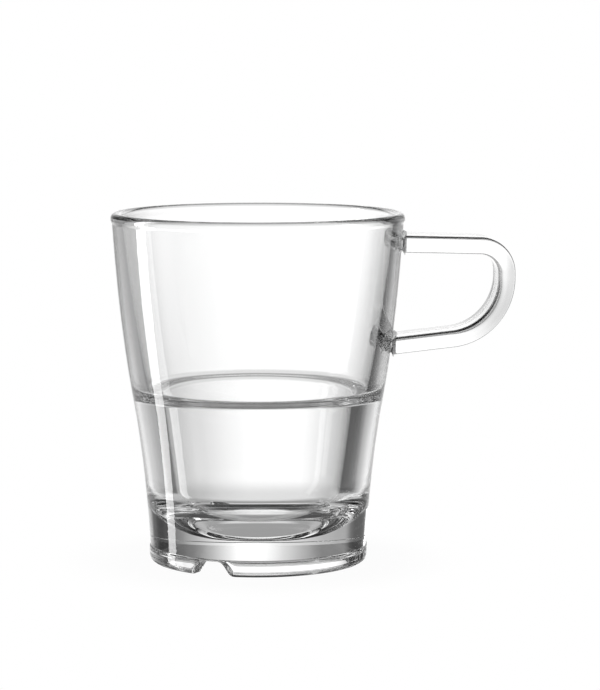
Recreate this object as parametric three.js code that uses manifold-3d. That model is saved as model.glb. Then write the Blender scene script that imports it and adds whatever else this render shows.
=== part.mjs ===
// A stackable cappuccino glass: a pressed glass bowl with a stacking ledge and a welded strap handle.
// Millimetres, +Z up. The glass stands on z = 0 and its handle points along +X.
import * as THREE from 'three';
import { mergeVertices } from 'three/addons/utils/BufferGeometryUtils.js';
import Module from 'manifold-3d';

// Outer wall: radius and draft (radius gained per height) at the foot, the waist and the rim
const HEIGHT = 96.15;
const RIM_RADIUS = 40.0;
const RIM_DRAFT = 0.065;
const WAIST_HEIGHT = 44.8;
const WAIST_RADIUS = 34.3;
const WAIST_DRAFT = 0.18;
const FOOT_RADIUS = 29.75;
const FOOT_DRAFT = 0.06;

// Rim: a full round lip that swells a little over the wall
const RIM_WALL = 2.6;
const RIM_BEAD = 0.27;
const RIM_BEAD_DROP = 2.0;
const RIM_BEAD_HEIGHT = 0.9;

// Inside: the bowl stands on a ledge that takes the foot of the next glass, and the well lies below it
const BOWL_WALL = 4.5;
const LEDGE_HEIGHT = 47.0;
const LEDGE_WIDTH = 4.2;
const LEDGE_CORNER = 2.4;
const LEDGE_EDGE = 1.9;
const WELL_DRAFT = 0.12;
const FLOOR_HEIGHT = 8.1;
const FLOOR_CORNER = 15.5;

// Foot: a ring round a shallow recess, with notches that let rinsing water drain
const FOOT_BAND_HEIGHT = 4.4;
const FOOT_BAND_STEP = 0.25;
const FOOT_EDGE = 2.2;
const RING_WIDTH = 5.0;
const RING_EDGE = 0.8;
const RECESS_DEPTH = 4.2;
const RECESS_CORNER = 1.9;
const NOTCH_COUNT = 3;
const NOTCH_FIRST_DEG = 241.8;
const NOTCH_MOUTH = 10.0;
const NOTCH_ROOF = 6.2;
const NOTCH_HEIGHT = 4.1;
const NOTCH_ROUND = 1.4;
const NOTCH_LIP = 0.8;
const NOTCH_SINK = 0.15;
const NOTCH_DRAFT_DEG = 5;

// Handle: a flat strap bent to an open D, from a leg under the rim to a leg at mid height
const HANDLE_REACH = 70.1;
const HANDLE_DROP = 8.4;
const HANDLE_SPAN = 27.9;
const STRAP_WIDTH = 16.0;
const STRAP_THICKNESS = 4.7;
const STRAP_EDGE = 1.6;
const UPPER_SLOPE_DEG = -1.4;
const LOWER_SLOPE_DEG = 6.5;
const UPPER_BEND = 7.4;
const STRAP_SIDE = 1.6;

// Welds: a collar round each end of the strap, saddled on the wall
const WELD_LIP = 0.7;
const WELD_STAND = 1.1;
const WELD_ROUND = 0.5;
const WELD_GAP = 0.3;

// Facets
const AROUND = 60;
const FOOT_WALL_STEPS = 6;
const RIM_WALL_STEPS = 7;
const ROUND_STEPS = 4;
const ROUND_PER_STEP = 3.0;
const STRAP_STEPS = 48;

const wasm = await Module();
wasm.setup();

const CLEAR_GLASS = new THREE.MeshStandardMaterial({ color: 0xf3f7f6, roughness: 0.03, metalness: 0 });
const WELD_GLASS = new THREE.MeshStandardMaterial({ color: 0xeaf0ef, roughness: 0.06, metalness: 0 });

const lipHeight = HEIGHT - RIM_WALL / 2;
const beadHeight = HEIGHT - RIM_BEAD_DROP;
const beadFoot = beadHeight - RIM_BEAD_HEIGHT;
const wallFoot = FOOT_BAND_HEIGHT + FOOT_BAND_STEP;

/** Cubic from value a with slope da to value b with slope db, over a span, at share t. */
function blend(a, da, b, db, span, t) {
	const s = 1 - t;
	return a * s * s * (1 + 2 * t) + b * t * t * (3 - 2 * t) + span * s * t * (da * s - db * t);
}

/** Outer radius of the wall at a height. */
function wallRadius(z) {
	if (z < WAIST_HEIGHT) {
		const span = WAIST_HEIGHT - wallFoot;
		return blend(FOOT_RADIUS, FOOT_DRAFT, WAIST_RADIUS, WAIST_DRAFT, span, (z - wallFoot) / span);
	}
	const span = lipHeight - WAIST_HEIGHT;
	return blend(WAIST_RADIUS, WAIST_DRAFT, RIM_RADIUS, RIM_DRAFT, span, (z - WAIST_HEIGHT) / span);
}

/** Inner radius of the bowl above the ledge: the wall thins from the ledge up to the lip. */
function bowlRadius(z) {
	const share = (z - LEDGE_HEIGHT) / (lipHeight - LEDGE_HEIGHT);
	return wallRadius(z) - THREE.MathUtils.lerp(BOWL_WALL, RIM_WALL, share);
}

/** A corner of an outline, rounded to a radius. */
function corner(x, y, round = 0) {
	return { at: new THREE.Vector2(x, y), round };
}

/** Points of an outline whose corners are rounded by arcs that touch both sides. */
function rounded(corners) {
	return corners.flatMap(({ at, round }, i) => {
		if (round === 0) return [at];
		const last = corners.at(i - 1);
		const next = corners[(i + 1) % corners.length];
		const before = last.at.clone().sub(at);
		const after = next.at.clone().sub(at);
		const half = Math.acos(before.dot(after) / (before.length() * after.length())) / 2;
		const room = Math.min(before.length() / (last.round ? 2 : 1), after.length() / (next.round ? 2 : 1));
		const reach = Math.min(round / Math.tan(half), room);
		const radius = reach * Math.tan(half);
		const inward = before.normalize().clone().add(after.normalize()).setLength(radius / Math.sin(half));
		const centre = at.clone().add(inward);
		const start = before.multiplyScalar(reach).add(at).sub(centre);
		const sweep = Math.sign(start.cross(inward.negate())) * (Math.PI - 2 * half);
		const steps = ROUND_STEPS + Math.floor(radius / ROUND_PER_STEP);
		return Array.from({ length: steps + 1 }, (_, k) =>
			start.clone().rotateAround(new THREE.Vector2(), (sweep * k) / steps).add(centre));
	});
}

/** Heights from one level to another in equal steps, both ends in. */
function levels(from, to, steps) {
	return Array.from({ length: steps + 1 }, (_, i) => THREE.MathUtils.lerp(from, to, i / steps));
}

/** A body of revolution about Z from an outline of radius and height. */
function turned(outline) {
	return new THREE.LatheGeometry(outline, AROUND).rotateX(Math.PI / 2);
}

/** A closed geometry as a solid that can be joined and cut. */
function solidOf(geometry) {
	const bare = geometry.clone();
	bare.deleteAttribute('normal');
	bare.deleteAttribute('uv');
	const merged = mergeVertices(bare);
	const index = merged.index.array;
	const triangles = [];
	for (let i = 0; i < index.length; i += 3) {
		const [a, b, c] = index.slice(i, i + 3);
		if (a !== b && b !== c && c !== a) triangles.push(a, b, c);
	}
	return new wasm.Manifold(new wasm.Mesh({
		numProp: 3,
		vertProperties: new Float32Array(merged.attributes.position.array),
		triVerts: new Uint32Array(triangles),
	}));
}

/** A solid back as a geometry. */
function geometryOf(solid) {
	const mesh = solid.getMesh();
	const geometry = new THREE.BufferGeometry();
	geometry.setAttribute('position', new THREE.BufferAttribute(mesh.vertProperties, mesh.numProp));
	geometry.setIndex(new THREE.BufferAttribute(mesh.triVerts, 1));
	geometry.computeVertexNormals();
	return geometry;
}

/** The outer wall from the foot band to under the bead. */
function wallOutline() {
	return [
		...levels(wallFoot, WAIST_HEIGHT, FOOT_WALL_STEPS),
		...levels(WAIST_HEIGHT, beadFoot, RIM_WALL_STEPS).slice(1),
	].map((z) => corner(wallRadius(z), z));
}

/** The lip: out over the bead, then round to the bowl's wall. */
function lipOutline() {
	const inner = RIM_RADIUS - RIM_WALL;
	const outer = RIM_RADIUS + RIM_BEAD;
	const round = (outer - inner) / 2;
	return [
		corner(outer, beadHeight),
		corner(outer, HEIGHT, round),
		corner(inner, HEIGHT, round),
	];
}

/** The pressed bowl: outer wall, lip, ledge, well and foot ring in one turned outline, with notches cut. */
function glassBody() {
	const bandRadius = FOOT_RADIUS + FOOT_BAND_STEP;
	const recessRadius = bandRadius - RING_WIDTH;
	const ledgeOuter = bowlRadius(LEDGE_HEIGHT);
	const wellMouth = ledgeOuter - LEDGE_WIDTH;
	const wellFoot = wellMouth - WELL_DRAFT * (LEDGE_HEIGHT - FLOOR_HEIGHT);
	const bowl = levels(lipHeight, LEDGE_HEIGHT, RIM_WALL_STEPS).slice(1, -1).map((z) => corner(bowlRadius(z), z));
	const outline = rounded([
		corner(0, RECESS_DEPTH),
		corner(recessRadius, RECESS_DEPTH, RECESS_CORNER),
		corner(recessRadius, 0, RING_EDGE),
		corner(bandRadius, 0, FOOT_EDGE),
		corner(bandRadius, FOOT_BAND_HEIGHT),
		...wallOutline(),
		...lipOutline(),
		...bowl,
		corner(ledgeOuter, LEDGE_HEIGHT, LEDGE_CORNER),
		corner(wellMouth, LEDGE_HEIGHT, LEDGE_EDGE),
		corner(wellFoot, FLOOR_HEIGHT, FLOOR_CORNER),
		corner(0, FLOOR_HEIGHT),
	]);
	let solid = solidOf(turned(outline));
	for (let i = 0; i < NOTCH_COUNT; i++) {
		const turn = THREE.MathUtils.degToRad(NOTCH_FIRST_DEG + (360 / NOTCH_COUNT) * i);
		solid = solid.subtract(solidOf(drainNotch(bandRadius).rotateZ(turn)));
	}
	return geometryOf(solid);
}

/** The space of one drain notch across the foot ring at +X: an arch that falls towards the recess. */
function drainNotch(bandRadius) {
	const flare = NOTCH_MOUTH / 2 + 2 * NOTCH_LIP;
	const half = [
		corner(flare, -NOTCH_SINK - NOTCH_LIP),
		corner(flare, -NOTCH_SINK),
		corner(NOTCH_MOUTH / 2, -NOTCH_SINK, NOTCH_LIP),
		corner(NOTCH_ROOF / 2, NOTCH_HEIGHT, NOTCH_ROUND),
	];
	const mirrored = half.map(({ at, round }) => corner(-at.x, at.y, round)).reverse();
	const arch = new THREE.Shape(rounded([...half, ...mirrored]));
	const length = 4 * RING_WIDTH;
	const draft = THREE.MathUtils.degToRad(NOTCH_DRAFT_DEG);
	return new THREE.ExtrudeGeometry(arch, { depth: length, bevelEnabled: false })
		.translate(0, 0, -length / 2)
		.rotateX(Math.PI / 2)
		.rotateZ(Math.PI / 2)
		.translate(0, 0, -NOTCH_HEIGHT)
		.rotateY(-draft)
		.translate(bandRadius, 0, NOTCH_HEIGHT);
}

/** A rectangle with round corners, centred on the origin. */
function plate(width, height, round) {
	const x = width / 2;
	const y = height / 2;
	return new THREE.Shape(rounded([
		corner(-x, -y, round),
		corner(x, -y, round),
		corner(x, y, round),
		corner(-x, y, round),
	]));
}

/** Where a leg of the handle meets the wall: the point and the leg's direction, in radius and height. */
function legRoot(height, slopeDeg) {
	const slope = THREE.MathUtils.degToRad(slopeDeg);
	return {
		at: new THREE.Vector2(wallRadius(height), height),
		along: new THREE.Vector2(Math.cos(slope), Math.sin(slope)),
		slope,
	};
}

const upperHeight = HEIGHT - HANDLE_DROP;
const upperRoot = legRoot(upperHeight, UPPER_SLOPE_DEG);
const lowerRoot = legRoot(upperHeight - HANDLE_SPAN, LOWER_SLOPE_DEG);

/** Middle line of the strap from the upper weld, round the two bends, to the lower weld. */
function strapLine() {
	const start = upperRoot.along.clone().multiplyScalar(WELD_STAND + WELD_GAP).add(upperRoot.at);
	const end = lowerRoot.along.clone().multiplyScalar(WELD_STAND + WELD_GAP).add(lowerRoot.at);
	const outer = HANDLE_REACH - STRAP_THICKNESS / 2;
	const upperX = outer - UPPER_BEND;
	const upperTop = start.y + (upperX - start.x) * Math.tan(upperRoot.slope);
	const upperY = upperTop - UPPER_BEND / Math.cos(upperRoot.slope);
	const lowerY = upperY - STRAP_SIDE;
	const rise = Math.tan(lowerRoot.slope);
	const fall = lowerY - end.y - (outer - end.x) * rise;
	const lowerBend = fall / (1 / Math.cos(lowerRoot.slope) - rise);
	const quarter = Math.PI / 2;
	return new THREE.Path()
		.moveTo(start.x, start.y)
		.lineTo(upperX - UPPER_BEND * Math.sin(upperRoot.slope), upperY + UPPER_BEND * Math.cos(upperRoot.slope))
		.absarc(upperX, upperY, UPPER_BEND, quarter + upperRoot.slope, 0, true)
		.absarc(outer - lowerBend, lowerY, lowerBend, 0, lowerRoot.slope - quarter, true)
		.lineTo(end.x, end.y);
}

/** The strap's middle line, stood up in the plane of the handle. */
class StandingLine extends THREE.Curve {
	constructor(line) {
		super();
		this.line = line;
	}

	getPoint(t, target = new THREE.Vector3()) {
		const point = this.line.getPoint(t);
		return target.set(point.x, 0, point.y);
	}
}

/** The strap: a flat section with round edges, carried along its middle line. */
function strapHandle() {
	const section = plate(STRAP_WIDTH, STRAP_THICKNESS, STRAP_EDGE);
	return new THREE.ExtrudeGeometry(section, {
		steps: STRAP_STEPS,
		extrudePath: new StandingLine(strapLine()),
	});
}

/** A weld collar: a plate a little larger than the strap, cut to sit on the wall. */
function weldCollar(root) {
	const inset = WELD_ROUND;
	const width = STRAP_WIDTH + 2 * (WELD_LIP - inset);
	const height = STRAP_THICKNESS + 2 * (WELD_LIP - inset);
	const buried = STRAP_WIDTH / 2;
	const plateSolid = new THREE.ExtrudeGeometry(plate(height, width, STRAP_EDGE + WELD_LIP - inset), {
		depth: buried + WELD_STAND - 2 * WELD_ROUND,
		bevelThickness: WELD_ROUND,
		bevelSize: inset,
		bevelSegments: ROUND_STEPS,
	})
		.translate(0, 0, WELD_ROUND - buried)
		.rotateY(Math.PI / 2 - root.slope)
		.translate(root.at.x, 0, root.at.y);
	const reach = STRAP_WIDTH;
	const wall = levels(root.at.y - reach, root.at.y + reach / 2, RIM_WALL_STEPS)
		.map((z) => new THREE.Vector2(wallRadius(z) + WELD_GAP, z));
	wall.unshift(new THREE.Vector2(0, wall[0].y));
	wall.push(new THREE.Vector2(0, wall.at(-1).y));
	return geometryOf(solidOf(plateSolid).subtract(solidOf(turned(wall))));
}

/** A named piece of the glass. */
function piece(name, geometry, material) {
	const mesh = new THREE.Mesh(geometry, material);
	mesh.name = name;
	return mesh;
}

const glass = new THREE.Group();
glass.add(
	piece('glass_body', glassBody(), CLEAR_GLASS),
	piece('strap_handle', strapHandle(), CLEAR_GLASS),
	piece('upper_weld', weldCollar(upperRoot), WELD_GLASS),
	piece('lower_weld', weldCollar(lowerRoot), WELD_GLASS),
);
// The origin is under the middle of the whole glass, handle and all
glass.position.x = (RIM_RADIUS + RIM_BEAD - HANDLE_REACH) / 2;

export default glass;
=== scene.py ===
"""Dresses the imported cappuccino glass: a pressed bowl on a stacking ledge with a welded strap handle.

Sizes are in millimetres and become metres where a mesh is placed. The row frame has +Z up, the handle
along +X and the camera on the -Y side.
"""

from __future__ import annotations

import logging
import math
from dataclasses import dataclass
from enum import Enum

import bmesh
import bpy
from mathutils import Matrix, Vector


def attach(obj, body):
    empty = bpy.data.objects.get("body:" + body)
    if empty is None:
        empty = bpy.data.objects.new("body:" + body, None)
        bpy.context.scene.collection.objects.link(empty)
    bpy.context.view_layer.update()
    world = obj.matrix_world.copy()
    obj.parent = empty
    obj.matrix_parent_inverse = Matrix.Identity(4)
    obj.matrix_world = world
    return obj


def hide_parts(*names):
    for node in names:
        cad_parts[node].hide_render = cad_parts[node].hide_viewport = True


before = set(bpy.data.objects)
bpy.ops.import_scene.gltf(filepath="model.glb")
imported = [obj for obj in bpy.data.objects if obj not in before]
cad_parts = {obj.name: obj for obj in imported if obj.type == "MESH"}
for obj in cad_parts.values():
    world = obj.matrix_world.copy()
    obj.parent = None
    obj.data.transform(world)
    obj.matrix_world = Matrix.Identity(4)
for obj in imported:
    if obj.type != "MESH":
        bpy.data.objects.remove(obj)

LOG = logging.getLogger("cappuccino_glass")
MM = 0.001
MERGE_DISTANCE = 0.002
SHARP_DEG = 40.0
FLAT_WEIGHT = 50


class Slot(Enum):
    """Names of the glass material slots; this script gives them to no piece."""

    BOWL = "bowl_glass"
    STRAP = "strap_glass"
    WELD = "weld_glass"


class Leg(Enum):
    """The two legs of the handle, with the solid that joins each to the wall."""

    UPPER = "upper_weld"
    LOWER = "lower_weld"


class Rounding(Enum):
    """What a bevel rounds."""

    CORNERS = "VERTICES"
    EDGES = "EDGES"


@dataclass(frozen=True)
class Corner:
    """One corner of a turned outline, with the fillet that rounds it."""

    radius: float
    height: float
    fillet: float = 0.0


def levels(start: float, end: float, steps: int) -> list[float]:
    """Values from start to end in equal steps, both ends in.

    Args:
        start: First value.
        end: Last value.
        steps: Number of steps between them.

    Returns:
        The values in order.
    """
    return [start + (end - start) * i / steps for i in range(steps + 1)]


def sines(degrees: tuple[float, float]) -> tuple[float, float]:
    """Sines of two angles.

    Args:
        degrees: The angles in degrees.

    Returns:
        Their sines.
    """
    first, second = degrees
    return math.sin(math.radians(first)), math.sin(math.radians(second))


def hermite(a: float, slope_a: float, b: float, slope_b: float, span: float, share: float) -> float:
    """Cubic between two values with given slopes.

    Args:
        a: Value at the start.
        slope_a: Slope at the start.
        b: Value at the end.
        slope_b: Slope at the end.
        span: Length over which the slopes are measured.
        share: Place along the span, from 0 to 1.

    Returns:
        The value at that place.
    """
    rest = 1.0 - share
    ends = a * rest * rest * (1.0 + 2.0 * share) + b * share * share * (3.0 - 2.0 * share)
    return ends + span * rest * share * (slope_a * rest - slope_b * share)


def bevel(
    bm: bmesh.types.BMesh,
    geom: list[bmesh.types.BMVert] | list[bmesh.types.BMEdge],
    rounding: Rounding,
    offset: float,
    steps: int,
) -> None:
    """Rounds corners or edges.

    Args:
        bm: Mesh that holds them.
        geom: The vertices or edges.
        rounding: Which of the two they are.
        offset: How far from them the round starts.
        steps: Segments in each round.
    """
    bmesh.ops.bevel(
        bm,
        geom=geom,
        offset=offset,
        offset_type="OFFSET",
        affect=rounding.value,
        segments=steps,
        profile=0.5,
        material=-1,
    )


def round_plate(bm: bmesh.types.BMesh, width: float, height: float, fillet: float, steps: int) -> None:
    """Adds a flat plate with round corners, centred on the origin in the XY plane.

    Args:
        bm: Mesh that takes the plate.
        width: Size along X.
        height: Size along Y.
        fillet: Radius of the corners.
        steps: Segments in each corner.
    """
    bmesh.ops.create_grid(bm, x_segments=1, y_segments=1, size=0.5)
    bmesh.ops.scale(bm, vec=(width, height, 1.0), verts=bm.verts)
    bevel(bm, bm.verts[:], Rounding.CORNERS, fillet, steps)


def extruded(
    bm: bmesh.types.BMesh, edges: list[bmesh.types.BMEdge]
) -> tuple[list[bmesh.types.BMVert], list[bmesh.types.BMEdge]]:
    """Extrudes edges, with the new ones still in their place.

    Args:
        bm: Mesh that holds the edges.
        edges: Edges that are extruded.

    Returns:
        The new vertices, and the new edges between them.
    """
    made = bmesh.ops.extrude_edge_only(bm, edges=edges)["geom"]
    verts = [item for item in made if isinstance(item, bmesh.types.BMVert)]
    sides = [item for item in made if isinstance(item, bmesh.types.BMEdge)]
    return verts, [edge for edge in sides if all(vert in verts for vert in edge.verts)]


def cut_across(
    bm: bmesh.types.BMesh, faces: list[bmesh.types.BMFace], side: Vector, places: list[float]
) -> None:
    """Cuts faces into strips, so that they can follow a curved wall.

    Args:
        bm: Mesh that holds the faces.
        faces: Faces that are cut.
        side: Direction across which the cuts are spread.
        places: Distances of the cuts from the origin.
    """
    for place in places:
        edges = dict.fromkeys(edge for face in faces for edge in face.edges)
        verts = dict.fromkeys(vert for face in faces for vert in face.verts)
        cut = bmesh.ops.bisect_plane(
            bm, geom=[*verts, *edges, *faces], dist=MERGE_DISTANCE, plane_co=side * place, plane_no=side
        )
        faces = [item for item in cut["geom"] if isinstance(item, bmesh.types.BMFace)]


def finished_piece(bm: bmesh.types.BMesh, name: str) -> bpy.types.Object:
    """Closes a mesh, turns its faces outwards and makes it an object at the origin, in metres.

    Args:
        bm: Mesh in millimetres in the row frame, freed here.
        name: Name of the piece.

    Returns:
        The linked object.
    """
    bmesh.ops.remove_doubles(bm, verts=bm.verts, dist=MERGE_DISTANCE)
    bmesh.ops.recalc_face_normals(bm, faces=bm.faces)
    bmesh.ops.scale(bm, vec=(MM, MM, MM), verts=bm.verts)
    for face in bm.faces:
        face.smooth = True
    mesh = bpy.data.meshes.new(name)
    bm.to_mesh(mesh)
    bm.free()
    mesh.set_sharp_from_angle(angle=math.radians(SHARP_DEG))
    piece = bpy.data.objects.new(name, mesh)
    bpy.context.scene.collection.objects.link(piece)
    flats = piece.modifiers.new("flat_faces_stay_flat", "WEIGHTED_NORMAL")
    flats.mode = "FACE_AREA"
    flats.weight = FLAT_WEIGHT
    flats.keep_sharp = True
    return piece


class Wiring:
    """Short calls for the nodes that the studio's light and the glass are wired from."""

    FRESH_STOPS = 2

    def __init__(self, tree: bpy.types.NodeTree) -> None:
        """Takes the tree that the nodes go into."""
        self.nodes = tree.nodes
        self.links = tree.links

    def feed(self, socket: bpy.types.NodeSocket, value: bpy.types.NodeSocket | float) -> None:
        """Links a socket, or sets a plain number on it.

        Args:
            socket: Input that is fed.
            value: Socket or number.
        """
        if isinstance(value, bpy.types.NodeSocket):
            self.links.new(value, socket)
        else:
            socket.default_value = value

    def node(self, kind: str, given: dict[str, bpy.types.NodeSocket | float]) -> bpy.types.Node:
        """A node with its inputs fed.

        Args:
            kind: Type of the node.
            given: Sockets or numbers by the name of the input.

        Returns:
            The node.
        """
        made = self.nodes.new(kind)
        for name, value in given.items():
            self.feed(made.inputs[name], value)
        return made

    def math(self, operation: str, *values: bpy.types.NodeSocket | float) -> bpy.types.NodeSocket:
        """A math node.

        Args:
            operation: Name of the operation.
            values: Its inputs in order.

        Returns:
            The result.
        """
        node = self.nodes.new("ShaderNodeMath")
        node.operation = operation
        for socket, value in zip(node.inputs, values):
            self.feed(socket, value)
        return node.outputs["Value"]

    def product(
        self, first: bpy.types.NodeSocket, *others: bpy.types.NodeSocket | float
    ) -> bpy.types.NodeSocket:
        """The product of several values.

        Args:
            first: Socket that is multiplied.
            others: Sockets or numbers that multiply it.

        Returns:
            The product.
        """
        result = first
        for other in others:
            result = self.math("MULTIPLY", result, other)
        return result

    def ease(
        self,
        value: bpy.types.NodeSocket,
        low: float,
        high: float,
        start: bpy.types.NodeSocket | float = 0.0,
        end: bpy.types.NodeSocket | float = 1.0,
    ) -> bpy.types.NodeSocket:
        """An eased change from start to end while a value goes from low to high.

        Args:
            value: Socket that is read.
            low: Value at which the change starts.
            high: Value at which it ends.
            start: Result below low.
            end: Result above high.

        Returns:
            The result.
        """
        given = {"Value": value, "From Min": low, "From Max": high, "To Min": start, "To Max": end}
        node = self.node("ShaderNodeMapRange", given)
        node.interpolation_type = "SMOOTHSTEP"
        return node.outputs["Result"]

    def stops(
        self, value: bpy.types.NodeSocket, places: list[tuple[float, float]]
    ) -> bpy.types.NodeSocket:
        """A grey ramp through given places.

        Args:
            value: Socket that is read, from 0 to 1.
            places: Pairs of place and level, in order.

        Returns:
            The level at the value.
        """
        node = self.node("ShaderNodeValToRGB", {"Fac": value})
        elements = node.color_ramp.elements
        for index, (place, level) in enumerate(places):
            element = elements[index] if index < self.FRESH_STOPS else elements.new(place)
            element.position = place
            element.color = (level, level, level, 1.0)
        return node.outputs["Color"]


class PressedSkin:
    """Shader group for the skin of pressed glass: slow ripples from the mould and faint haze."""

    NAME = "pressed_glass_skin"
    RIPPLE_DETAIL = 1.0
    RIPPLE_ROUGHNESS = 0.35
    HAZE_DETAIL = 3.0
    HAZE_FROM = 0.45
    HAZE_TO = 0.75

    def group(self) -> bpy.types.ShaderNodeTree:
        """The node group, built on first use.

        Returns:
            A group that puts out a ripple height from 0 to 1 and a roughness.
        """
        found = bpy.data.node_groups.get(self.NAME)
        if found is not None:
            return found
        tree = bpy.data.node_groups.new(self.NAME, "ShaderNodeTree")
        for name in ("Ripple Scale", "Ring Stretch", "Haze Scale", "Clear Roughness", "Haze Roughness"):
            tree.interface.new_socket(name, in_out="INPUT", socket_type="NodeSocketFloat")
        for name in ("Height", "Roughness"):
            tree.interface.new_socket(name, in_out="OUTPUT", socket_type="NodeSocketFloat")
        wire = Wiring(tree)
        given = wire.nodes.new("NodeGroupInput").outputs
        result = wire.nodes.new("NodeGroupOutput").inputs
        place = wire.nodes.new("ShaderNodeTexCoord").outputs["Object"]

        stretch = wire.node("ShaderNodeCombineXYZ", {"X": 1.0, "Y": 1.0, "Z": given["Ring Stretch"]})
        ringed = wire.nodes.new("ShaderNodeVectorMath")
        ringed.operation = "MULTIPLY"
        wire.links.new(place, ringed.inputs[0])
        wire.links.new(stretch.outputs["Vector"], ringed.inputs[1])
        ripple = wire.node(
            "ShaderNodeTexNoise",
            {
                "Vector": ringed.outputs["Vector"],
                "Scale": given["Ripple Scale"],
                "Detail": self.RIPPLE_DETAIL,
                "Roughness": self.RIPPLE_ROUGHNESS,
            },
        )
        wire.links.new(ripple.outputs["Fac"], result["Height"])

        haze = wire.node(
            "ShaderNodeTexNoise",
            {"Vector": place, "Scale": given["Haze Scale"], "Detail": self.HAZE_DETAIL},
        )
        spread = wire.node(
            "ShaderNodeMapRange",
            {
                "Value": haze.outputs["Fac"],
                "From Min": self.HAZE_FROM,
                "From Max": self.HAZE_TO,
                "To Min": given["Clear Roughness"],
                "To Max": given["Haze Roughness"],
            },
        )
        wire.links.new(spread.outputs["Result"], result["Roughness"])
        return tree


@dataclass(frozen=True)
class GlassFinish:
    """Clear glass with the skin that its making leaves."""

    name: str
    tint: tuple[float, float, float] = (0.997, 0.998, 0.998)
    index: float = 1.52
    ripple_depth: float = 0.007
    ripple_scale: float = 55.0
    ring_stretch: float = 1.0
    haze_scale: float = 260.0
    clear_roughness: float = 0.0
    haze_roughness: float = 0.012

    def material(self) -> bpy.types.Material:
        """The material of this finish.

        Returns:
            A glass material whose roughness and relief come from the shared skin.
        """
        made = bpy.data.materials.new(self.name)
        made.use_nodes = True
        nodes = made.node_tree.nodes
        links = made.node_tree.links
        shader = nodes["Principled BSDF"]
        shader.inputs["Base Color"].default_value = (*self.tint, 1.0)
        shader.inputs["Transmission Weight"].default_value = 1.0
        shader.inputs["IOR"].default_value = self.index
        skin = nodes.new("ShaderNodeGroup")
        skin.node_tree = PressedSkin().group()
        skin.inputs["Ripple Scale"].default_value = self.ripple_scale
        skin.inputs["Ring Stretch"].default_value = self.ring_stretch
        skin.inputs["Haze Scale"].default_value = self.haze_scale
        skin.inputs["Clear Roughness"].default_value = self.clear_roughness
        skin.inputs["Haze Roughness"].default_value = self.haze_roughness
        relief = nodes.new("ShaderNodeBump")
        relief.inputs["Distance"].default_value = self.ripple_depth * MM
        links.new(skin.outputs["Height"], relief.inputs["Height"])
        links.new(relief.outputs["Normal"], shader.inputs["Normal"])
        links.new(skin.outputs["Roughness"], shader.inputs["Roughness"])
        return made


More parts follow.
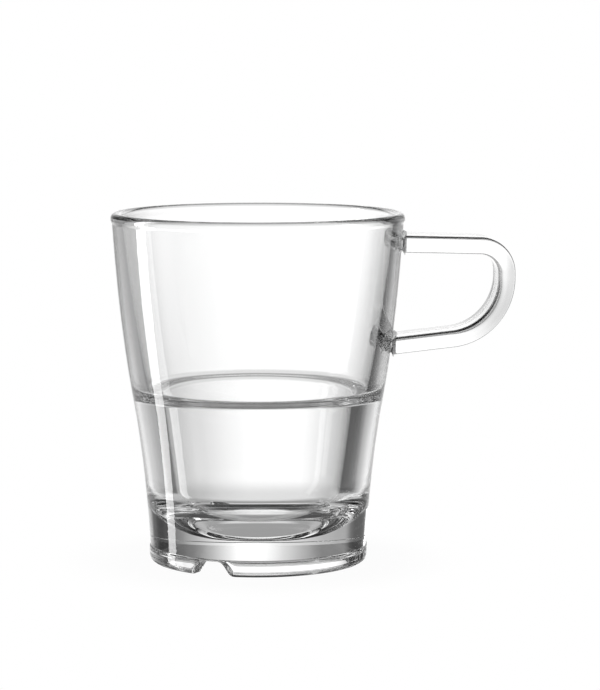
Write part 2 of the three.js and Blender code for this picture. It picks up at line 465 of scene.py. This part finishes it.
@dataclass(frozen=True)
class GlassBody:
    """The pressed bowl: flared wall, rounded rim, stacking ledge, well, floor and notched foot ring."""

    axis_x: float = -14.915
    height: float = 96.15
    rim_radius: float = 40.0
    rim_draft: float = 0.065
    waist_height: float = 44.8
    waist_radius: float = 34.3
    waist_draft: float = 0.18
    foot_radius: float = 29.75
    foot_draft: float = 0.06
    rim_wall: float = 2.6
    rim_fillet: float = 1.43
    rim_bead: float = 0.27
    rim_bead_drop: float = 2.0
    rim_bead_height: float = 0.9
    rim_bead_fillet: float = 0.5
    bowl_wall: float = 4.5
    bowl_top_gap: float = 0.2
    ledge_height: float = 47.0
    ledge_width: float = 4.2
    ledge_corner: float = 2.4
    ledge_clear_share: float = 1.3
    ledge_edge: float = 1.9
    well_draft: float = 0.12
    floor_height: float = 8.1
    floor_corner: float = 15.5
    band_height: float = 4.4
    band_step: float = 0.25
    band_fillet: float = 0.1
    foot_edge: float = 2.2
    ring_width: float = 5.0
    ring_edge: float = 0.8
    recess_depth: float = 4.2
    recess_corner: float = 1.9
    notch_count: int = 3
    notch_first_deg: float = 241.8
    notch_width: float = 9.2
    notch_reach: float = 6.2
    notch_height: float = 4.1
    notch_draft_deg: float = 5.0
    notch_inner_share: float = 0.8
    notch_squareness: int = 6
    notch_steps: int = 36
    wall_steps: int = 30
    fillet_steps: int = 8
    turn_steps: int = 384

    @property
    def lip_height(self) -> float:
        """Height at which the rim starts to round over."""
        return self.height - self.rim_wall / 2

    @property
    def wall_foot(self) -> float:
        """Height at which the wall leaves the foot band."""
        return self.band_height + self.band_step

    @property
    def band_radius(self) -> float:
        """Radius of the foot band."""
        return self.foot_radius + self.band_step

    @property
    def recess_radius(self) -> float:
        """Radius of the recess inside the foot ring."""
        return self.band_radius - self.ring_width

    def outer_radius(self, z: float) -> float:
        """Outer radius of the wall.

        Args:
            z: Height above the table.

        Returns:
            The radius at that height.
        """
        waist = (self.waist_radius, self.waist_draft)
        if z < self.waist_height:
            span = self.waist_height - self.wall_foot
            share = (z - self.wall_foot) / span
            return hermite(self.foot_radius, self.foot_draft, *waist, span, share)
        span = self.lip_height - self.waist_height
        share = (z - self.waist_height) / span
        return hermite(*waist, self.rim_radius, self.rim_draft, span, share)

    def wall_x(self, y: float, z: float) -> float:
        """Where the wall stands on the handle's side.

        Args:
            y: Distance from the handle's plane.
            z: Height above the table.

        Returns:
            The place along X in the row frame.
        """
        radius = self.outer_radius(z)
        return self.axis_x + math.sqrt(radius * radius - y * y)

    def bowl_radius(self, z: float) -> float:
        """Inner radius of the bowl, whose wall thins from the ledge up to the lip.

        Args:
            z: Height above the table, over the ledge.

        Returns:
            The radius at that height.
        """
        share = (z - self.ledge_height) / (self.lip_height - self.ledge_height)
        return self.outer_radius(z) - (self.bowl_wall + (self.rim_wall - self.bowl_wall) * share)

    def outline(self) -> list[Corner]:
        """Half section of the glass, from the middle of the recess round to the middle of the floor.

        Returns:
            The corners in order.
        """
        ledge_outer = self.bowl_radius(self.ledge_height)
        well_mouth = ledge_outer - self.ledge_width
        well_foot = well_mouth - self.well_draft * (self.ledge_height - self.floor_height)
        bead_height = self.height - self.rim_bead_drop
        bead_foot = bead_height - self.rim_bead_height
        inner = self.rim_radius - self.rim_wall
        outer = self.rim_radius + self.rim_bead
        lower = levels(self.wall_foot, self.waist_height, self.wall_steps)
        upper = levels(self.waist_height, bead_foot, self.wall_steps)[1:]
        bowl_top = self.lip_height - self.bowl_top_gap
        bowl_foot = self.ledge_height + self.ledge_clear_share * self.ledge_corner
        bowl = levels(bowl_top, bowl_foot, self.wall_steps)
        return [
            Corner(0.0, self.recess_depth),
            Corner(self.recess_radius, self.recess_depth, self.recess_corner),
            Corner(self.recess_radius, 0.0, self.ring_edge),
            Corner(self.band_radius, 0.0, self.foot_edge),
            Corner(self.band_radius, self.band_height, self.band_fillet),
            *[Corner(self.outer_radius(z), z) for z in lower + upper[:-1]],
            Corner(self.outer_radius(bead_foot), bead_foot, self.rim_bead_fillet),
            Corner(outer, bead_height, self.rim_bead_fillet),
            Corner(outer, self.height, self.rim_fillet),
            Corner(inner, self.height, self.rim_fillet),
            *[Corner(self.bowl_radius(z), z) for z in bowl],
            Corner(ledge_outer, self.ledge_height, self.ledge_corner),
            Corner(well_mouth, self.ledge_height, self.ledge_edge),
            Corner(well_foot, self.floor_height, self.floor_corner),
            Corner(0.0, self.floor_height),
        ]

    def round_corner(self, bm: bmesh.types.BMesh, vert: bmesh.types.BMVert, fillet: float) -> None:
        """Rounds one corner of the outline to a radius.

        Args:
            bm: Mesh that holds the outline.
            vert: Corner between two edges.
            fillet: Radius of the round.
        """
        sides = [(edge.other_vert(vert).co - vert.co) for edge in vert.link_edges]
        half = sides[0].angle(sides[1]) / 2
        bevel(bm, [vert], Rounding.CORNERS, fillet / math.tan(half), self.fillet_steps)

    def by_notch(self, at: Vector, outward: Vector, across: Vector) -> bool:
        """Whether a face of the foot lies by a notch.

        Args:
            at: Middle of the face.
            outward: Direction of the notch from the axis.
            across: Direction across the notch.

        Returns:
            True for faces of the ring within reach of the notch.
        """
        if at.z > self.wall_foot or at.dot(outward) < self.recess_radius * self.notch_inner_share:
            return False
        return abs(at.dot(across)) < self.notch_width

    def press_notches(self, bm: bmesh.types.BMesh) -> None:
        """Presses the drain notches up into the foot ring.

        Args:
            bm: Turned mesh, still centred on the glass's own axis.
        """
        fall = math.tan(math.radians(self.notch_draft_deg))
        half = self.notch_width / 2
        for index in range(self.notch_count):
            turn = math.radians(self.notch_first_deg + 360.0 / self.notch_count * index)
            outward = Vector((math.cos(turn), math.sin(turn), 0.0))
            across = Vector((-outward.y, outward.x, 0.0))
            near = [face for face in bm.faces if self.by_notch(face.calc_center_median(), outward, across)]
            cut_across(bm, near, across, levels(-self.notch_reach, self.notch_reach, self.notch_steps))
            for vert in bm.verts:
                if vert.co.z >= self.wall_foot or vert.co.dot(outward) <= 0.0:
                    continue
                radius = math.hypot(vert.co.x, vert.co.y)
                if radius < self.recess_radius - self.recess_corner:
                    continue
                inward = max(self.band_radius - radius, 0.0)
                share = math.exp(-((vert.co.dot(across) / half) ** self.notch_squareness))
                lift = (self.notch_height - inward * fall) * share
                whole = min(inward / self.ring_width, 1.0)
                ceiling = self.wall_foot + (self.recess_depth - self.wall_foot) * whole
                vert.co.z = max(vert.co.z, lift + vert.co.z * (ceiling - lift) / ceiling)

    def build(self) -> bpy.types.Object:
        """Turns the outline and presses the notches.

        Returns:
            The body as an object.
        """
        bm = bmesh.new()
        corners = self.outline()
        verts = [bm.verts.new((corner.radius, 0.0, corner.height)) for corner in corners]
        for vert, following in zip(verts, verts[1:]):
            bm.edges.new((vert, following))
        for vert, corner in zip(verts, corners):
            if corner.fillet > 0.0:
                self.round_corner(bm, vert, corner.fillet)
        bmesh.ops.spin(
            bm,
            geom=bm.verts[:] + bm.edges[:],
            cent=(0.0, 0.0, 0.0),
            axis=(0.0, 0.0, 1.0),
            angle=2.0 * math.pi,
            steps=self.turn_steps,
            use_merge=True,
        )
        bmesh.ops.remove_doubles(bm, verts=bm.verts, dist=MERGE_DISTANCE)
        self.press_notches(bm)
        bmesh.ops.translate(bm, vec=(self.axis_x, 0.0, 0.0), verts=bm.verts)
        return finished_piece(bm, "pressed_bowl")

    def dress(self, piece: bpy.types.Object, finish: bpy.types.Material) -> None:
        """Gives the body its glass and its place in the frame.

        Args:
            piece: The built body.
            finish: Its material.
        """
        piece.data.materials.append(finish)
        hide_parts("glass_body")
        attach(piece, "root")


@dataclass(frozen=True)
class LegRoot:
    """Where a leg of the handle meets the wall, in the plane of the handle."""

    at: Vector
    slope: float

    @property
    def along(self) -> Vector:
        """Direction of the leg, away from the wall."""
        return Vector((math.cos(self.slope), 0.0, math.sin(self.slope)))

    @property
    def above(self) -> Vector:
        """Direction square to the leg, upwards."""
        return Vector((-math.sin(self.slope), 0.0, math.cos(self.slope)))

    def point(self, away: float) -> Vector:
        """A point of the leg's middle line, at a distance from the wall."""
        return self.at + self.along * away

    def placement(self, away: float) -> Matrix:
        """Stands a flat section square across the leg.

        Args:
            away: Distance of the section from the wall.

        Returns:
            The matrix that takes a section in the XY plane there.
        """
        axes = Matrix((Vector((0.0, 1.0, 0.0)), self.above, self.along)).transposed().to_4x4()
        return Matrix.Translation(self.point(away)) @ axes


@dataclass(frozen=True)
class StrapHandle:
    """The flat strap, bent to an open D between two legs."""

    body: GlassBody
    reach: float = 70.1
    drop: float = 8.4
    span: float = 27.9
    width: float = 16.0
    thickness: float = 4.7
    bulge: float = 1.45
    side_fillet_share: float = 0.49
    upper_slope_deg: float = -1.4
    lower_slope_deg: float = 6.5
    upper_bend: float = 7.4
    side: float = 1.6
    weld_stand: float = 1.15
    weld_overlap: float = 0.12
    edge_steps: int = 16
    seat_steps: int = 16
    upper_steps: int = 80
    lower_steps: int = 112

    def root(self, leg: Leg) -> LegRoot:
        """The root of one leg on the wall.

        Args:
            leg: Which leg.

        Returns:
            The point and slope, in the row frame.
        """
        upper = leg is Leg.UPPER
        height = self.body.height - self.drop - (0.0 if upper else self.span)
        slope = math.radians(self.upper_slope_deg if upper else self.lower_slope_deg)
        return LegRoot(Vector((self.body.wall_x(0.0, height), 0.0, height)), slope)

    def section(self, bm: bmesh.types.BMesh) -> None:
        """Adds the strap's section, flat faces between sides that bulge as half ellipses.

        Args:
            bm: Mesh that takes the section.
        """
        fillet = self.side_fillet_share * self.thickness
        flat = self.width / 2 - self.bulge
        round_plate(bm, 2.0 * (flat + fillet), self.thickness, fillet, self.edge_steps)
        for vert in bm.verts:
            past = abs(vert.co.x) - flat
            if past > 0.0:
                vert.co.x = math.copysign(flat + past * self.bulge / fillet, vert.co.x)

    @property
    def seat_places(self) -> list[float]:
        """Distances from the handle's plane at which the ends are cut to follow the wall."""
        return levels(-self.width / 2, self.width / 2, self.seat_steps)

    def seat(self, verts: list[bmesh.types.BMVert], root: LegRoot) -> None:
        """Shifts the end of a leg along its run, so that it follows the wall.

        Args:
            verts: Vertices of the end.
            root: The leg's root.
        """
        along = root.along
        for vert in verts:
            off = vert.co - root.at
            lean = off.x - off.dot(along) * along.x
            gap = self.body.wall_x(vert.co.y, vert.co.z) - root.at.x - lean
            vert.co += along * (gap / along.x)

    def run(
        self, bm: bmesh.types.BMesh, loop: list[bmesh.types.BMEdge], vec: Vector
    ) -> list[bmesh.types.BMEdge]:
        """Carries the section straight on.

        Args:
            bm: Mesh of the strap.
            loop: Edges of the last section.
            vec: How far the section goes.

        Returns:
            Edges of the new section.
        """
        verts, ahead = extruded(bm, loop)
        bmesh.ops.translate(bm, vec=vec, verts=verts)
        return ahead

    def bend(
        self, bm: bmesh.types.BMesh, loop: list[bmesh.types.BMEdge], centre: Vector, angle: float, steps: int
    ) -> list[bmesh.types.BMEdge]:
        """Carries the section round a bend.

        Args:
            bm: Mesh of the strap.
            loop: Edges of the last section.
            centre: Middle of the bend.
            angle: Turn about +Y.
            steps: Sections round the bend.

        Returns:
            Edges of the last section.
        """
        last = bmesh.ops.spin(
            bm, geom=loop, cent=centre, axis=(0.0, 1.0, 0.0), angle=angle, steps=steps, use_merge=False
        )["geom_last"]
        return [item for item in last if isinstance(item, bmesh.types.BMEdge)]

    def build(self) -> bpy.types.Object:
        """Carries a round-edged section along both legs and round the two bends.

        Returns:
            The strap as an object.
        """
        upper = self.root(Leg.UPPER)
        lower = self.root(Leg.LOWER)
        stand = self.weld_stand - self.weld_overlap
        start = upper.point(stand)
        end = lower.point(stand)
        outer = self.body.axis_x + self.reach - self.thickness / 2
        upper_x = outer - self.upper_bend
        upper_top = start.z + (upper_x - start.x) * math.tan(upper.slope)
        upper_z = upper_top - self.upper_bend / math.cos(upper.slope)
        lower_z = upper_z - self.side
        rise = math.tan(lower.slope)
        lower_bend = (lower_z - end.z - (outer - end.x) * rise) / (1.0 / math.cos(lower.slope) - rise)
        upper_centre = Vector((upper_x, 0.0, upper_z))
        lower_centre = Vector((outer - lower_bend, 0.0, lower_z))
        bm = bmesh.new()
        self.section(bm)
        cut_across(bm, bm.faces[:], Vector((1.0, 0.0, 0.0)), self.seat_places)
        first = bm.verts[:]
        bmesh.ops.transform(bm, matrix=upper.placement(stand), verts=bm.verts)
        loop = [edge for edge in bm.edges if edge.is_boundary]
        loop = self.run(bm, loop, upper_centre + upper.above * self.upper_bend - start)
        loop = self.bend(bm, loop, upper_centre, math.pi / 2 + upper.slope, self.upper_steps)
        loop = self.run(bm, loop, Vector((0.0, 0.0, -self.side)))
        loop = self.bend(bm, loop, lower_centre, math.pi / 2 - lower.slope, self.lower_steps)
        loop = self.run(bm, loop, end - (lower_centre - lower.above * lower_bend))
        last = list({vert for edge in loop for vert in edge.verts})
        cap = bmesh.ops.edgeloop_fill(bm, edges=loop)["faces"]
        cut_across(bm, cap, Vector((0.0, 1.0, 0.0)), self.seat_places)
        self.seat(first, upper)
        self.seat(last, lower)
        return finished_piece(bm, "strap_loop")

    def dress(self, piece: bpy.types.Object, finish: bpy.types.Material) -> None:
        """Gives the strap its glass and its place in the frame.

        Args:
            piece: The built strap.
            finish: Its material.
        """
        piece.data.materials.append(finish)
        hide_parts("strap_handle")
        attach(piece, "root")


@dataclass(frozen=True)
class WeldCollar:
    """A collar of melted glass that saddles one leg of the strap on the wall."""

    handle: StrapHandle
    leg: Leg
    lip: float = 0.65
    corner: float = 1.5
    fillet: float = 0.12
    neck_inset: float = 0.6
    sink: float = 0.15
    bead: float = 0.85
    depth: float = 2.6
    saddle_share: float = 0.9
    edge_steps: int = 8
    fillet_steps: int = 4

    def plate(self, bm: bmesh.types.BMesh) -> None:
        """Adds the collar, flat in the XY plane: a beaded plate that draws in to a neck.

        Args:
            bm: Mesh that takes the collar.
        """
        width = self.handle.width + 2.0 * self.lip
        height = self.handle.thickness + 2.0 * self.lip
        round_plate(bm, width, height, self.corner, self.edge_steps)
        front = bm.edges[:]
        back, rear = extruded(bm, front)
        neck_width = self.handle.width - 2.0 * self.neck_inset
        neck_height = self.handle.thickness - 2.0 * self.neck_inset
        bmesh.ops.scale(bm, vec=(neck_width / width, neck_height / height, 1.0), verts=back)
        bmesh.ops.translate(bm, vec=(0.0, 0.0, -self.bead), verts=back)
        bmesh.ops.edgeloop_fill(bm, edges=rear)
        bevel(bm, front, Rounding.EDGES, self.fillet, self.fillet_steps)
        neck = min(bm.faces, key=lambda face: face.calc_center_median().z)
        made = bmesh.ops.extrude_discrete_faces(bm, faces=[neck])["faces"]
        bmesh.ops.translate(bm, vec=(0.0, 0.0, self.bead - self.depth), verts=made[0].verts)

    def build(self) -> bpy.types.Object:
        """Stands the plate on the end of the leg and saddles its neck on the wall.

        Returns:
            The collar as an object.
        """
        handle = self.handle
        root = handle.root(self.leg)
        bm = bmesh.new()
        self.plate(bm)
        cut_across(bm, bm.faces[:], Vector((1.0, 0.0, 0.0)), handle.seat_places)
        saddled = {vert for vert in bm.verts if vert.co.z < -self.saddle_share * self.depth}
        bmesh.ops.transform(bm, matrix=root.placement(handle.weld_stand), verts=bm.verts)
        handle.seat([vert for vert in bm.verts if vert not in saddled], root)
        for vert in saddled:
            vert.co.x = handle.body.wall_x(vert.co.y, vert.co.z) - self.sink
        return finished_piece(bm, f"{self.leg.name.lower()}_collar")

    def dress(self, piece: bpy.types.Object, finish: bpy.types.Material) -> None:
        """Gives the collar its glass and its place in the frame.

        Args:
            piece: The built collar.
            finish: Its material.
        """
        piece.data.materials.append(finish)
        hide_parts(self.leg.value)
        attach(piece, "root")


@dataclass(frozen=True)
class Studio:
    """A white sweep behind the glass, dark sides, one tall soft light on the left and the camera.

    The sweep pairs an angle to the side with a level, where 1 is white. The other pairs of angles are
    heights over the horizon, or for spot_turn_deg angles to the side, between which a level changes.
    The zenith margin keeps the angle to the side defined straight up.
    """

    axis_x: float
    turn_deg: float = 3.0
    camera_side: float = 11.51
    camera_back: float = 880.0
    camera_height: float = 157.7
    aim_height: float = 59.6
    focal_pixels: float = 3223.7
    frame_pixels: float = 690.0
    sensor: float = 36.0
    floor_size: float = 3000.0
    floor_grey: float = 0.9
    floor_shadow: float = 0.03
    shadow_near: float = 32.0
    shadow_far: float = 60.0
    shade_steps: int = 96
    shade_radius: float = 30.0
    shade_ring: float = 25.2
    shade_ring_level: float = 0.06
    shade_gap: float = 0.05
    shade_depth: float = 8.5
    shade_core_level: float = 0.34
    sweep: tuple[tuple[float, float], ...] = (
        (-90.0, 1.0),
        (-80.0, 0.95),
        (-70.0, 0.13),
        (-52.0, 0.14),
        (-48.0, 0.2),
        (-42.0, 0.42),
        (-36.0, 0.42),
        (-27.0, 0.5),
        (-20.0, 0.65),
        (-10.0, 0.81),
        (-2.0, 1.16),
        (6.0, 1.16),
        (10.0, 0.96),
        (20.0, 0.62),
        (27.0, 0.43),
        (32.0, 0.25),
        (40.0, 0.13),
        (50.0, 0.06),
        (65.0, 0.05),
        (78.0, 0.95),
        (90.0, 1.0),
    )
    zenith_margin: float = 0.0001
    ceiling_deg: tuple[float, float] = (8.0, 30.0)
    ceiling_level: float = 0.02
    front_span: tuple[float, float] = (-0.5, -0.1)
    front_rise_deg: tuple[float, float] = (-6.0, 4.0)
    front_low_level: float = 0.6
    front_high_level: float = 0.1
    table_deg: tuple[float, float] = (-26.0, -14.0)
    table_level: float = 0.72
    spot_fall: float = 0.55
    spot_rise_deg: tuple[float, float] = (-9.0, 9.0)
    spot_turn_deg: tuple[float, float] = (5.0, 28.0)
    side_low_deg: tuple[float, float] = (-26.0, -20.0)
    side_low_level: float = 0.5
    steep_deg: tuple[float, float] = (-47.0, -34.0)
    steep_level: float = 0.36
    under_deg: tuple[float, float] = (-64.0, -52.0)
    under_level: float = 0.7
    panel_turn_deg: float = 77.5
    panel_away: float = 700.0
    panel_width: float = 150.0
    panel_low: float = -450.0
    panel_high: float = 550.0
    panel_radiance: float = 7.0
    bounces: int = 32
    brightest_bounce: float = 2.0

    def row_point(self, side: float, away: float, height: float) -> Vector:
        """A point of the photographer's frame in the row frame, in metres.

        Args:
            side: Distance to the right of the glass's axis.
            away: Distance behind the axis.
            height: Height above the table.

        Returns:
            The point.
        """
        turned = Matrix.Rotation(-math.radians(self.turn_deg), 3, "Z") @ Vector((side, away, height))
        return (turned + Vector((self.axis_x, 0.0, 0.0))) * MM

    def aimed(
        self, name: str, data: bpy.types.Camera | bpy.types.Light, at: Vector, aim: Vector
    ) -> bpy.types.Object:
        """Adds a camera or light that looks at a point.

        Args:
            name: Its name.
            data: The camera or light.
            at: Where it stands.
            aim: Where it looks.

        Returns:
            The linked object.
        """
        made = bpy.data.objects.new(name, data)
        made.location = at
        made.rotation_euler = (aim - at).to_track_quat("-Z", "Y").to_euler()
        bpy.context.scene.collection.objects.link(made)
        return made

    def camera(self) -> bpy.types.Object:
        """Adds the camera at the photograph's place.

        Returns:
            The camera.
        """
        data = bpy.data.cameras.new("studio_camera")
        data.sensor_width = self.sensor
        data.lens = self.sensor * self.focal_pixels / self.frame_pixels
        at = self.row_point(self.camera_side, -self.camera_back, self.camera_height)
        aim = self.row_point(self.camera_side, 0.0, self.aim_height)
        camera = self.aimed("studio_camera", data, at, aim)
        bpy.context.scene.camera = camera
        return camera

    def panel(self) -> bpy.types.Object:
        """Adds the tall soft light on the left.

        Returns:
            The light.
        """
        data = bpy.data.lights.new("tall_soft_light", "AREA")
        data.shape = "RECTANGLE"
        data.size = self.panel_width * MM
        data.size_y = (self.panel_high - self.panel_low) * MM
        data.energy = self.panel_radiance * math.pi * data.size * data.size_y
        turn = math.radians(self.panel_turn_deg)
        middle = (self.panel_high + self.panel_low) / 2
        at = self.row_point(-self.panel_away * math.sin(turn), self.panel_away * math.cos(turn), middle)
        light = self.aimed("tall_soft_light", data, at, self.row_point(0.0, 0.0, middle))
        light.visible_camera = False
        return light

    def stage_piece(self, bm: bmesh.types.BMesh, name: str) -> tuple[bpy.types.Object, Wiring]:
        """Makes a piece of the studio, with a material that is still empty.

        Args:
            bm: Mesh in metres, freed here.
            name: Name of the piece and of its material.

        Returns:
            The linked object, and the nodes of its material.
        """
        mesh = bpy.data.meshes.new(name)
        bm.to_mesh(mesh)
        bm.free()
        piece = bpy.data.objects.new(name, mesh)
        bpy.context.scene.collection.objects.link(piece)
        made = bpy.data.materials.new(name)
        made.use_nodes = True
        mesh.materials.append(made)
        wire = Wiring(made.node_tree)
        wire.nodes.remove(wire.nodes["Principled BSDF"])
        return piece, wire

    def floor(self) -> bpy.types.Object:
        """Adds the pale floor, which shows a faint shadow.

        Returns:
            The floor.
        """
        bm = bmesh.new()
        bmesh.ops.create_grid(bm, x_segments=1, y_segments=1, size=self.floor_size * MM / 2)
        floor, wire = self.stage_piece(bm, "pale_floor")
        floor.visible_glossy = False
        floor.visible_transmission = False
        paper = wire.nodes.new("ShaderNodeBsdfDiffuse")
        paper.inputs["Color"].default_value = (self.floor_grey, self.floor_grey, self.floor_grey, 1.0)
        glow = wire.nodes.new("ShaderNodeEmission")
        place = wire.nodes.new("ShaderNodeTexCoord")
        from_axis = wire.nodes.new("ShaderNodeVectorMath")
        from_axis.operation = "DISTANCE"
        from_axis.inputs[1].default_value = (self.axis_x * MM, 0.0, 0.0)
        wire.links.new(place.outputs["Object"], from_axis.inputs[0])
        near = self.shadow_near * MM
        far = self.shadow_far * MM
        white = wire.ease(from_axis.outputs["Value"], near, far, 1.0 - self.floor_shadow, 1.0)
        path = wire.nodes.new("ShaderNodeLightPath")
        mix = wire.node("ShaderNodeMixShader", {"Fac": wire.product(path.outputs["Is Camera Ray"], white)})
        wire.links.new(paper.outputs["BSDF"], mix.inputs[1])
        wire.links.new(glow.outputs["Emission"], mix.inputs[2])
        wire.links.new(mix.outputs["Shader"], wire.nodes["Material Output"].inputs["Surface"])
        return floor

    def foot_shade(self) -> bpy.types.Object:
        """Adds the shade under the foot, which only the glass sees.

        A dark ring lies right under the foot ring, and a grey disc deeper under the recess.

        Returns:
            The shade.
        """
        bm = bmesh.new()
        ring = self.shade_ring * MM
        for radius in (self.shade_radius * MM, ring):
            bmesh.ops.create_circle(bm, segments=self.shade_steps, radius=radius)
        bmesh.ops.bridge_loops(bm, edges=bm.edges[:])
        disc = bmesh.ops.create_circle(bm, cap_ends=True, segments=self.shade_steps, radius=ring)
        bmesh.ops.translate(bm, vec=(0.0, 0.0, -self.shade_depth * MM), verts=disc["verts"])
        bmesh.ops.translate(bm, vec=(self.axis_x * MM, 0.0, -self.shade_gap * MM), verts=bm.verts)
        shade, wire = self.stage_piece(bm, "foot_shade")
        shade.visible_camera = False
        shade.visible_diffuse = False
        shade.visible_shadow = False
        place = wire.nodes.new("ShaderNodeTexCoord")
        axes = wire.node("ShaderNodeSeparateXYZ", {"Vector": place.outputs["Object"]})
        low = -self.shade_depth * MM
        level = wire.ease(axes.outputs["Z"], low, 0.0, self.shade_core_level, self.shade_ring_level)
        glow = wire.node("ShaderNodeEmission", {"Strength": level})
        wire.links.new(glow.outputs["Emission"], wire.nodes["Material Output"].inputs["Surface"])
        return shade

    def field(self, wire: Wiring, direction: bpy.types.NodeSocket) -> bpy.types.NodeSocket:
        """The light that the glass meets from each direction.

        Args:
            wire: The world's nodes.
            direction: Direction in the photographer's frame.

        Returns:
            The level.
        """
        axes = wire.node("ShaderNodeSeparateXYZ", {"Vector": direction})
        rise = axes.outputs["Z"]
        flat_squared = wire.math("SUBTRACT", 1.0 + self.zenith_margin, wire.product(rise, rise))
        side = wire.math("DIVIDE", axes.outputs["X"], wire.math("SQRT", flat_squared))
        places = [(0.5 + 0.5 * math.sin(math.radians(angle)), level) for angle, level in self.sweep]
        around = wire.stops(wire.math("MULTIPLY_ADD", side, 0.5, 0.5), places)
        ceiling = wire.ease(rise, *sines(self.ceiling_deg), 1.0, self.ceiling_level)
        table = wire.ease(rise, *sines(self.table_deg), self.table_level, 1.0)
        above = wire.ease(rise, *sines(self.spot_rise_deg))
        beside = wire.ease(wire.math("ABSOLUTE", side), *sines(self.spot_turn_deg))
        spot = wire.math("SUBTRACT", 1.0, wire.product(above, beside, self.spot_fall))
        back = wire.product(around, ceiling, table, spot)
        front = wire.ease(rise, *sines(self.front_rise_deg), self.front_low_level, self.front_high_level)
        front = wire.product(front, ceiling, table)
        level = wire.ease(axes.outputs["Y"], *self.front_span, front, back)
        lifted = wire.math("MAXIMUM", level, self.side_low_level)
        level = wire.ease(rise, *sines(self.side_low_deg), lifted, level)
        level = wire.ease(rise, *sines(self.steep_deg), self.steep_level, level)
        return wire.ease(rise, *sines(self.under_deg), self.under_level, level)

    def world(self) -> None:
        """Sets the world: white to the camera, and in glass a white sweep that falls off to greys."""
        world = bpy.data.worlds.new("bright_field")
        world.use_nodes = True
        bpy.context.scene.world = world
        wire = Wiring(world.node_tree)
        place = wire.nodes.new("ShaderNodeTexCoord")
        turn = wire.nodes.new("ShaderNodeVectorRotate")
        turn.rotation_type = "Z_AXIS"
        turn.inputs["Angle"].default_value = math.radians(self.turn_deg)
        wire.links.new(place.outputs["Generated"], turn.inputs["Vector"])
        level = self.field(wire, turn.outputs["Vector"])
        seen = wire.nodes.new("ShaderNodeLightPath").outputs["Is Camera Ray"]
        shown = wire.math("MULTIPLY_ADD", level, wire.math("SUBTRACT", 1.0, seen), seen)
        background = wire.nodes["Background"]
        background.inputs["Color"].default_value = (1.0, 1.0, 1.0, 1.0)
        wire.links.new(shown, background.inputs["Strength"])

    def light_paths(self) -> None:
        """Lets light through the many surfaces of the glass, without stray bright specks."""
        cycles = bpy.context.scene.cycles
        cycles.max_bounces = self.bounces
        cycles.transmission_bounces = self.bounces
        cycles.glossy_bounces = self.bounces
        cycles.sample_clamp_indirect = self.brightest_bounce


def main() -> None:
    """Builds and dresses each piece, then the studio."""
    logging.basicConfig(level=logging.INFO, format="%(name)s: %(message)s")
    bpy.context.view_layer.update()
    bpy.context.scene.view_settings.view_transform = "Standard"

    bowl_glass = GlassFinish("pressed_bowl_glass", ring_stretch=2.5)
    strap_glass = GlassFinish(
        "drawn_strap_glass", ripple_depth=0.008, ripple_scale=70.0, haze_roughness=0.004
    )
    weld_glass = GlassFinish("melted_weld_glass", ripple_depth=0.02, ripple_scale=160.0)

    body = GlassBody()
    handle = StrapHandle(body)
    weld_material = weld_glass.material()
    jobs = [(body, bowl_glass.material()), (handle, strap_glass.material())]
    jobs += [(WeldCollar(handle, leg), weld_material) for leg in Leg]
    for maker, material in jobs:
        piece = maker.build()
        maker.dress(piece, material)
        LOG.info("%s: %d faces, %s", piece.name, len(piece.data.polygons), material.name)

    studio = Studio(body.axis_x)
    studio.world()
    studio.floor()
    studio.foot_shade()
    studio.panel()
    studio.camera()
    studio.light_paths()


if __name__ == "__main__":
    main()
